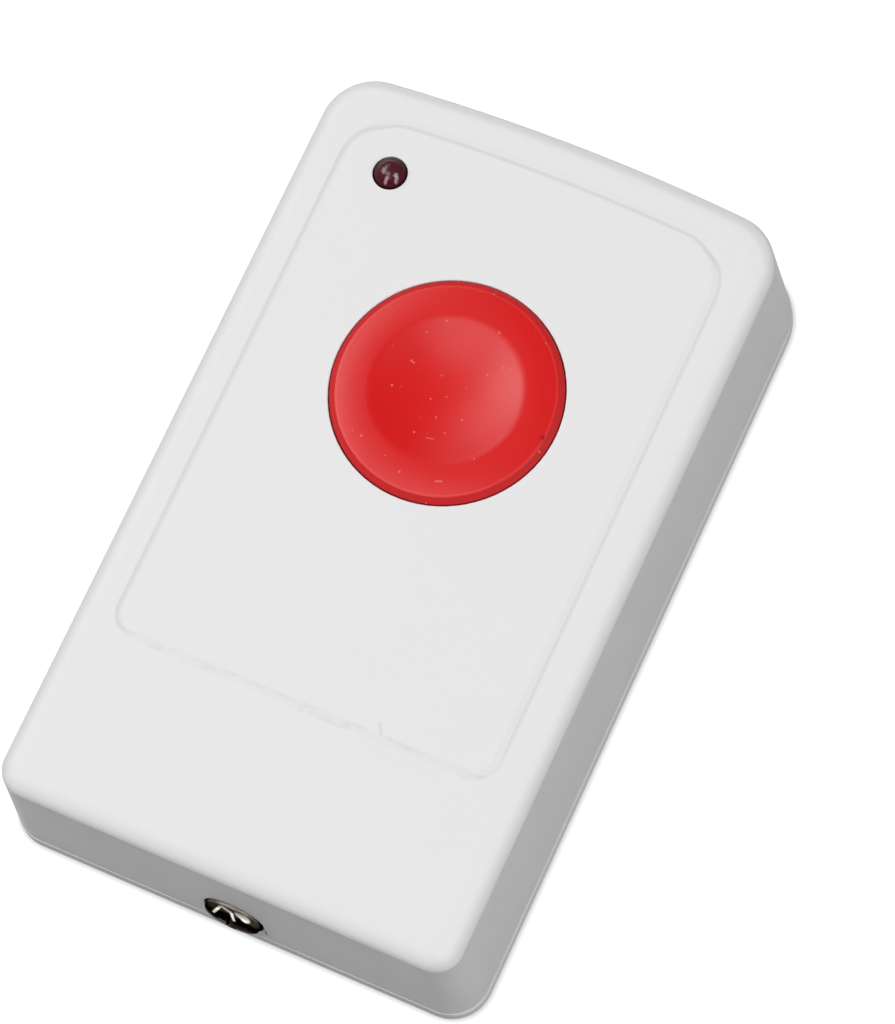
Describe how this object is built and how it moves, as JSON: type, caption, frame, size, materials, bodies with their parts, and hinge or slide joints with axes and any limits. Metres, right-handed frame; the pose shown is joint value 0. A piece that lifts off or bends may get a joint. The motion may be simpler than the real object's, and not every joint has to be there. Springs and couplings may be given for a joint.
{
  "type": "wireless panic button",
  "caption": "Small white handheld or wall-fixed alarm transmitter with a sprung round red push button, an indicator lamp and a screwed back cover.",
  "frame": {"origin": "middle of the footprint on the back face", "axes": "+Z out of the face with the red button, +Y from the screw end towards the lamp end, +X to the right of the face seen with the lamp end up"},
  "size_m": [0.045, 0.0745, 0.0159],
  "materials": {
    "white_shell": "satin moulded",
    "white_back": "fine texture",
    "red_button": "satin moulded",
    "red_lens": "clear tinted",
    "nickel_screw": "black nickel plate",
    "zinc_screw": "plated",
    "tinned_wire": "tinned",
    "tinned_track": "tinned",
    "board_laminate": "solder mask",
    "black_moulding": "moulded",
    "switch_steel": "stamped",
    "plunger_plastic": "moulded",
    "spring_steel": "bright",
    "chip_epoxy": "moulded",
    "can_metal": "bright",
    "resistor_ceramic": "glazed",
    "capacitor_ceramic": "fired",
    "battery_jacket": "lacquered can",
    "contact_nickel": "plated",
    "spring_nickel": "plated"
  },
  "bodies": {
    "housing": {"front_cover": "white_shell", "back_cover": "white_back", "end_screw": "nickel_screw", "lamp_lens": "red_lens", "lamp_leads": "tinned_wire", "circuit_board": "board_laminate", "board_screws": "zinc_screw", "switch_housing": "black_moulding", "switch_frame": "switch_steel", "snap_dome": "spring_steel", "switch_terminals": "tinned_wire", "encoder_chip": "chip_epoxy", "encoder_pins": "tinned_wire", "resonator_can": "can_metal", "resonator_pins": "tinned_wire", "radio_transistor": "chip_epoxy", "chip_resistors": "resistor_ceramic", "chip_capacitors": "capacitor_ceramic", "loop_aerial": "tinned_track", "battery": "battery_jacket", "spring_contact": "contact_nickel", "nub_contact": "contact_nickel", "battery_spring": "spring_nickel"},
    "button": {"panic_button": "red_button"},
    "plunger": {"switch_plunger": "plunger_plastic"}
  },
  "joints": [
    {"name": "button_press", "type": "slide", "parent": "housing", "child": "button", "axis": [0, 0, -1], "range_m": [0, 0.00035], "stiffness_N_per_m": 4000, "springref_m": -0.00012},
    {"name": "plunger_press", "type": "slide", "parent": "housing", "child": "plunger", "axis": [0, 0, -1], "range_m": [0, 0.00035], "stiffness_N_per_m": 400, "springref_m": -0.00012, "deforming": ["snap_dome"]}
  ],
  "couplings": [
    {"joint": "plunger_press", "follows": "button_press", "ratio": 1}
  ]
}
